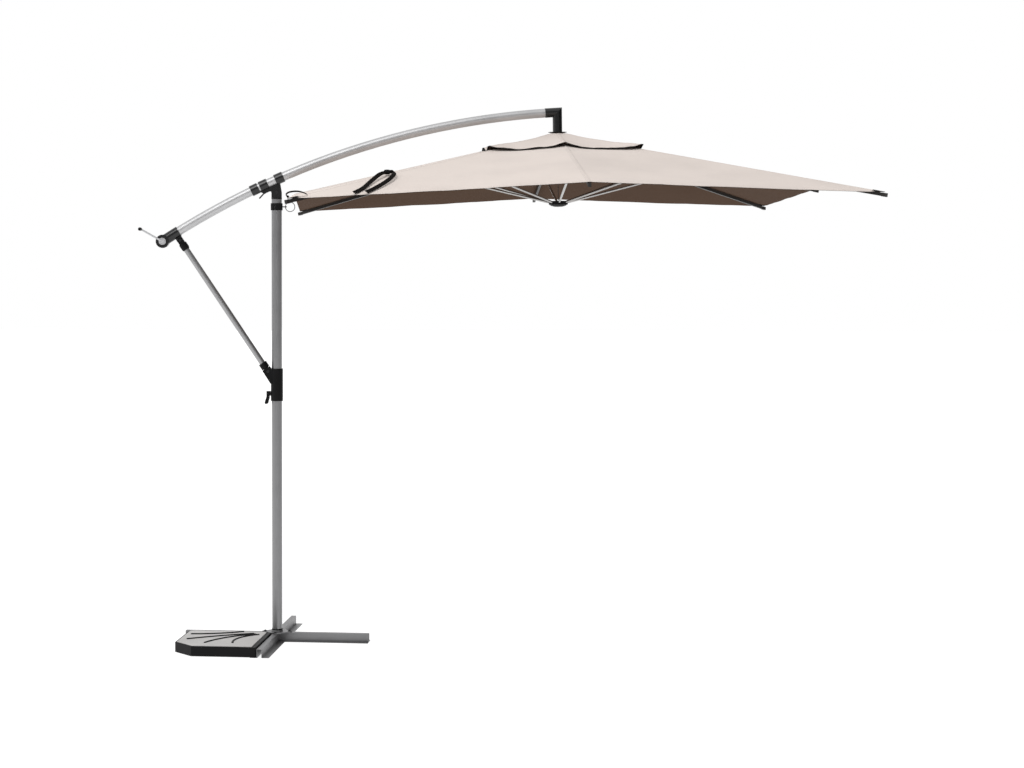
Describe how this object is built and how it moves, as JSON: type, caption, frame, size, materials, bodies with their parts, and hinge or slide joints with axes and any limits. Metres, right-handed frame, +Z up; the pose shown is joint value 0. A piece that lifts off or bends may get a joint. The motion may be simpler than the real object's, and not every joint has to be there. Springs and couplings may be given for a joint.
{
  "type": "cantilever parasol",
  "caption": "Square cantilever parasol with a curved arm on a tilting cradle, a crank-driven folding canopy, a small vent canopy and a cross foot with a weight slab.",
  "frame": {"origin": "on the floor, on the axis of the mast", "axes": "+X from the mast towards the canopy, in the plane of the arm; +Z up; the viewer of the picture is on the -Y side"},
  "size_m": [3.2331, 2.5238, 2.5414],
  "materials": {
    "foot_steel": "grey powder coat",
    "bolt_black": "blackened steel",
    "slab_shell": "moulded",
    "slab_stone": "cast, fine grained",
    "mast_metal": "satin anodised",
    "arm_metal": "satin anodised",
    "brace_metal": "satin anodised",
    "black_plastic": "fine moulded grain",
    "gloss_black": "glossy moulded",
    "hub_silver": "silver lacquer",
    "pin_steel": "turned",
    "rib_steel": "dark powder coat",
    "stretcher_steel": "zinc plated",
    "canopy_cloth": "woven polyester, cream",
    "strap_web": "woven webbing",
    "cord_braid": "braided cord"
  },
  "bodies": {
    "foot": {"foot_leg_long": "foot_steel", "foot_leg_right": "foot_steel", "foot_leg_left": "foot_steel", "foot_core_block": "foot_steel", "foot_plate": "foot_steel", "foot_bolts": "bolt_black", "foot_spigot": "foot_steel", "weight_shell": "slab_shell", "weight_fan": "slab_shell", "weight_fill": "slab_stone"},
    "mast": {"mast_tube_lower": "mast_metal", "mast_tube_upper": "mast_metal", "mast_joint_sleeve": "mast_metal", "mast_foot_ring": "black_plastic", "mast_band": "black_plastic", "mast_head": "gloss_black", "cradle_pin": "bolt_black"},
    "tie_ring": {"tie_ring": "bolt_black"},
    "slider": {"slider_sleeve": "black_plastic", "slider_pin": "bolt_black"},
    "clamp": {"clamp_lever": "black_plastic"},
    "brace": {"brace_tube": "brace_metal", "brace_lower_end": "black_plastic", "brace_upper_fork": "black_plastic", "brace_fork_pin": "bolt_black"},
    "arm": {"arm_tube": "arm_metal", "cradle": "gloss_black", "stop_collar": "gloss_black", "crank_housing": "gloss_black", "elbow": "gloss_black", "cord_guide": "black_plastic", "pull_cord": "cord_braid", "hub_cap": "gloss_black", "top_hub": "black_plastic", "top_hub_wire": "pin_steel", "canopy_cover": "canopy_cloth", "vent_canopy": "canopy_cloth"},
    "latch": {"latch_lever": "black_plastic"},
    "crank": {"crank_drum": "black_plastic", "crank_arm": "hub_silver"},
    "knob": {"crank_knob": "black_plastic"},
    "runner": {"runner": "black_plastic", "runner_wire": "pin_steel"},
    "rib_right": {"rib_right": "rib_steel"},
    "stretcher_right": {"stretcher_right": "stretcher_steel"},
    "rib_right_far": {"rib_right_far": "rib_steel"},
    "stretcher_right_far": {"stretcher_right_far": "stretcher_steel"},
    "rib_far": {"rib_far": "rib_steel"},
    "stretcher_far": {"stretcher_far": "stretcher_steel"},
    "rib_left_far": {"rib_left_far": "rib_steel"},
    "stretcher_left_far": {"stretcher_left_far": "stretcher_steel"},
    "rib_left": {"rib_left": "rib_steel"},
    "stretcher_left": {"stretcher_left": "stretcher_steel"},
    "rib_left_near": {"rib_left_near": "rib_steel", "closure_strap": "strap_web"},
    "stretcher_left_near": {"stretcher_left_near": "stretcher_steel"},
    "rib_near": {"rib_near": "rib_steel"},
    "stretcher_near": {"stretcher_near": "stretcher_steel"},
    "rib_right_near": {"rib_right_near": "rib_steel"},
    "stretcher_right_near": {"stretcher_right_near": "stretcher_steel"}
  },
  "joints": [
    {"name": "mast_turn", "type": "hinge", "parent": "foot", "child": "mast", "pos_m": [0, 0, 0.1], "axis": [0, 0, 1], "range_deg": [-180, 180]},
    {"name": "arm_tilt", "type": "hinge", "parent": "mast", "child": "arm", "pos_m": [0, 0, 2.128], "axis": [0, -1, 0], "range_deg": [-3, 12]},
    {"name": "slider_slide", "type": "slide", "parent": "mast", "child": "slider", "axis": [0, 0, 1], "range_m": [-0.17, 0.07]},
    {"name": "brace_swing", "type": "hinge", "parent": "slider", "child": "brace", "pos_m": [-0.042, 0, 1.285], "axis": [0, -1, 0], "range_deg": [-10, 5]},
    {"name": "clamp_turn", "type": "hinge", "parent": "slider", "child": "clamp", "pos_m": [-0.049, 0, 1.18], "axis": [1, 0, 0], "range_deg": [0, 170]},
    {"name": "ring_swing", "type": "hinge", "parent": "mast", "child": "tie_ring", "pos_m": [0.041, 0, 2.0605], "axis": [0, 1, 0], "range_deg": [-15, 25]},
    {"name": "latch_turn", "type": "hinge", "parent": "arm", "child": "latch", "pos_m": [-0.05653, 0, 2.12588], "axis": [0, 1, 0], "range_deg": [-35, 0]},
    {"name": "canopy_fold", "type": "hinge", "parent": "arm", "child": "rib_right", "pos_m": [1.36507, 0, 2.39274], "axis": [0, 1, 0], "range_deg": [0, 72], "deforming": ["canopy_cover", "vent_canopy", "closure_strap", "pull_cord"]},
    {"name": "stretcher_right_swing", "type": "hinge", "parent": "rib_right", "child": "stretcher_right", "pos_m": [1.98262, 0, 2.25356], "axis": [0, -1, 0], "range_deg": [-2, 146]},
    {"name": "runner_level", "type": "hinge", "parent": "stretcher_right", "child": "runner", "pos_m": [1.37087, 0, 2.09079], "axis": [0, 1, 0], "range_deg": [-1, 73]},
    {"name": "rib_right_far_fold", "type": "hinge", "parent": "arm", "child": "rib_right_far", "pos_m": [1.35394, 0.02687, 2.39252], "axis": [-0.707, 0.7071, -0.0136], "range_deg": [-1, 73]},
    {"name": "stretcher_right_far_swing", "type": "hinge", "parent": "rib_right_far", "child": "stretcher_right_far", "pos_m": [1.79146, 0.46157, 2.24989], "axis": [0.707, -0.7071, 0.0136], "range_deg": [-2, 146]},
    {"name": "rib_far_fold", "type": "hinge", "parent": "arm", "child": "rib_far", "pos_m": [1.32708, 0.038, 2.39201], "axis": [-0.9998, 0, -0.0192], "range_deg": [-1, 73]},
    {"name": "stretcher_far_swing", "type": "hinge", "parent": "rib_far", "child": "stretcher_far", "pos_m": [1.32997, 0.65276, 2.24103], "axis": [0.9998, 0, 0.0192], "range_deg": [-2, 146]},
    {"name": "rib_left_far_fold", "type": "hinge", "parent": "arm", "child": "rib_left_far", "pos_m": [1.30021, 0.02687, 2.39149], "axis": [-0.707, -0.7071, -0.0136], "range_deg": [-1, 73]},
    {"name": "stretcher_left_far_swing", "type": "hinge", "parent": "rib_left_far", "child": "stretcher_left_far", "pos_m": [0.86849, 0.46157, 2.23217], "axis": [0.707, 0.7071, 0.0136], "range_deg": [-2, 146]},
    {"name": "rib_left_fold", "type": "hinge", "parent": "arm", "child": "rib_left", "pos_m": [1.28908, 0, 2.39128], "axis": [0, -1, 0], "range_deg": [-1, 73]},
    {"name": "stretcher_left_swing", "type": "hinge", "parent": "rib_left", "child": "stretcher_left", "pos_m": [0.67733, 0, 2.2285], "axis": [0, 1, 0], "range_deg": [-2, 146]},
    {"name": "rib_left_near_fold", "type": "hinge", "parent": "arm", "child": "rib_left_near", "pos_m": [1.30021, -0.02687, 2.39149], "axis": [0.707, -0.7071, 0.0136], "range_deg": [-1, 73]},
    {"name": "stretcher_left_near_swing", "type": "hinge", "parent": "rib_left_near", "child": "stretcher_left_near", "pos_m": [0.86849, -0.46157, 2.23217], "axis": [-0.707, 0.7071, -0.0136], "range_deg": [-2, 146]},
    {"name": "rib_near_fold", "type": "hinge", "parent": "arm", "child": "rib_near", "pos_m": [1.32708, -0.038, 2.39201], "axis": [0.9998, 0, 0.0192], "range_deg": [-1, 73]},
    {"name": "stretcher_near_swing", "type": "hinge", "parent": "rib_near", "child": "stretcher_near", "pos_m": [1.32997, -0.65276, 2.24103], "axis": [-0.9998, 0, -0.0192], "range_deg": [-2, 146]},
    {"name": "rib_right_near_fold", "type": "hinge", "parent": "arm", "child": "rib_right_near", "pos_m": [1.35394, -0.02687, 2.39252], "axis": [0.707, 0.7071, 0.0136], "range_deg": [-1, 73]},
    {"name": "stretcher_right_near_swing", "type": "hinge", "parent": "rib_right_near", "child": "stretcher_right_near", "pos_m": [1.79146, -0.46157, 2.24989], "axis": [-0.707, -0.7071, -0.0136], "range_deg": [-2, 146]},
    {"name": "crank_turn", "type": "hinge", "parent": "arm", "child": "crank", "pos_m": [-0.5313, 0, 1.89488], "axis": [0, 1, 0], "range_deg": [0, 3337.9]},
    {"name": "knob_spin", "type": "hinge", "parent": "crank", "child": "knob", "pos_m": [-0.63026, 0, 1.95087], "axis": [0, 1, 0], "continuous": true}
  ],
  "couplings": [
    {"joint": "slider_slide", "follows": "arm_tilt", "m_per_rad": -0.59301},
    {"joint": "brace_swing", "follows": "arm_tilt", "ratio": -0.42},
    {"joint": "stretcher_right_swing", "follows": "canopy_fold", "ratio": 2},
    {"joint": "runner_level", "follows": "canopy_fold", "ratio": 1},
    {"joint": "rib_right_far_fold", "follows": "canopy_fold", "ratio": 1},
    {"joint": "stretcher_right_far_swing", "follows": "canopy_fold", "ratio": 2},
    {"joint": "rib_far_fold", "follows": "canopy_fold", "ratio": 1},
    {"joint": "stretcher_far_swing", "follows": "canopy_fold", "ratio": 2},
    {"joint": "rib_left_far_fold", "follows": "canopy_fold", "ratio": 1},
    {"joint": "stretcher_left_far_swing", "follows": "canopy_fold", "ratio": 2},
    {"joint": "rib_left_fold", "follows": "canopy_fold", "ratio": 1},
    {"joint": "stretcher_left_swing", "follows": "canopy_fold", "ratio": 2},
    {"joint": "rib_left_near_fold", "follows": "canopy_fold", "ratio": 1},
    {"joint": "stretcher_left_near_swing", "follows": "canopy_fold", "ratio": 2},
    {"joint": "rib_near_fold", "follows": "canopy_fold", "ratio": 1},
    {"joint": "stretcher_near_swing", "follows": "canopy_fold", "ratio": 2},
    {"joint": "rib_right_near_fold", "follows": "canopy_fold", "ratio": 1},
    {"joint": "stretcher_right_near_swing", "follows": "canopy_fold", "ratio": 2},
    {"joint": "crank_turn", "follows": "canopy_fold", "ratio": 46.332}
  ]
}
